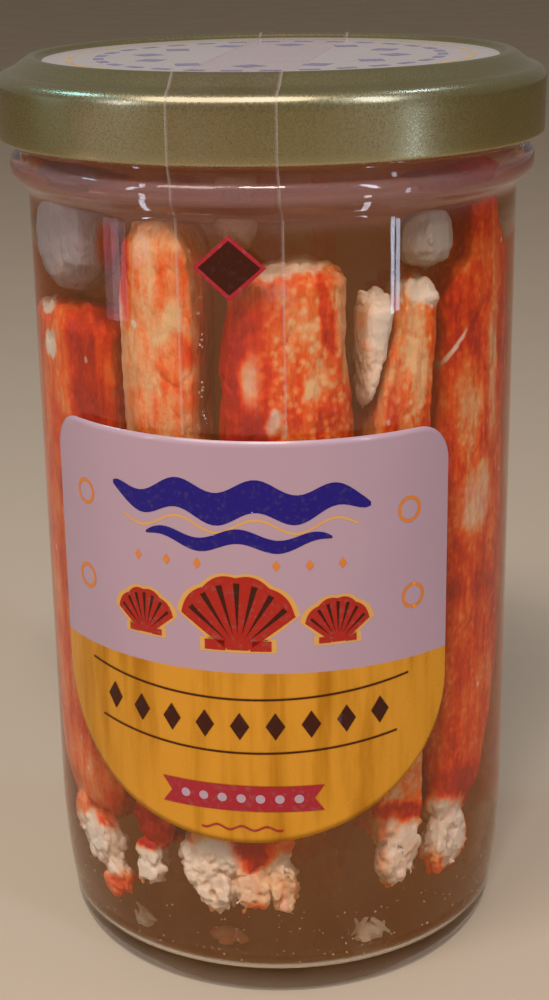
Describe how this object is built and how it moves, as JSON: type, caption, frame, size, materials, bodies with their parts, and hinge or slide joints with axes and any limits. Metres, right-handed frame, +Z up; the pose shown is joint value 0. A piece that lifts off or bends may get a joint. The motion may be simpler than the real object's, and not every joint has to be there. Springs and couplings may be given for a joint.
{
  "type": "glass jar of king crab leg meat",
  "caption": "Tall straight glass jar packed with king crab leg meat in brine, closed by a gold twist-off lid, with a curved front label and a clear seal tape over the lid.",
  "frame": {"origin": "middle of the foot, on the surface the jar stands on", "axes": "+Z up along the jar's axis; -Y is the front, towards the middle of the label; +X is to the right of someone who faces the label"},
  "size_m": [0.0856, 0.087, 0.1484],
  "materials": {
    "jar_glass": "clear pressed glass, smooth, with a faint mould texture at the foot",
    "brine": "murky brown-grey brine round the meat, made in the visual model only",
    "lid_lacquer": "satin gold lacquer with a fine orange-peel texture on tinplate",
    "lid_print": "pale printed panel on the lid, satin",
    "seal_compound": "soft cream sealing compound",
    "label_paper": "smooth printed label, pale lilac above and glossy gold below",
    "label_ink": "printed ink",
    "tape_film": "clear glossy adhesive film, faintly hazy",
    "meat_red": "moist red-orange skin of cooked leg meat over cream fibres",
    "meat_orange": "moist orange leg meat with cream fibres",
    "meat_cream": "moist cream leg meat with orange streaks",
    "meat_white": "moist grey-white torn flesh"
  },
  "bodies": {
    "jar": {"glass_jar": "jar_glass", "label": "label_paper", "seal_tape_front": "tape_film", "seal_tape_back": "tape_film", "leg_meat_front": "meat_red", "leg_meat_front_right": "meat_orange", "leg_meat_right": "meat_red", "leg_meat_left": "meat_red", "leg_meat_front_left": "meat_cream", "leg_meat_back_right": "meat_orange", "leg_meat_back": "meat_red", "leg_meat_back_left": "meat_cream", "leg_meat_rear_left": "meat_red", "leg_meat_middle_front": "meat_orange", "leg_meat_middle_right": "meat_cream", "leg_meat_middle_left": "meat_red", "pale_flake": "meat_white", "pale_end_left": "meat_white", "pale_end_middle": "meat_white", "pale_end_right": "meat_white", "crumb_front": "meat_white", "crumb_left": "meat_white", "chip_front": "meat_red"},
    "seal_ring": {"lid_seal_ring": "seal_compound"},
    "lid": {"lid_shell": "lid_lacquer", "seal_tape_lid": "tape_film"}
  },
  "joints": [
    {"name": "lid_lift", "type": "slide", "parent": "jar", "child": "seal_ring", "axis": [0, 0, 1], "range_m": [0, 0.03]},
    {"name": "lid_turn", "type": "hinge", "parent": "seal_ring", "child": "lid", "pos_m": [0, 0, 0.14], "axis": [0, 0, 1], "range_deg": [0, 90]}
  ]
}
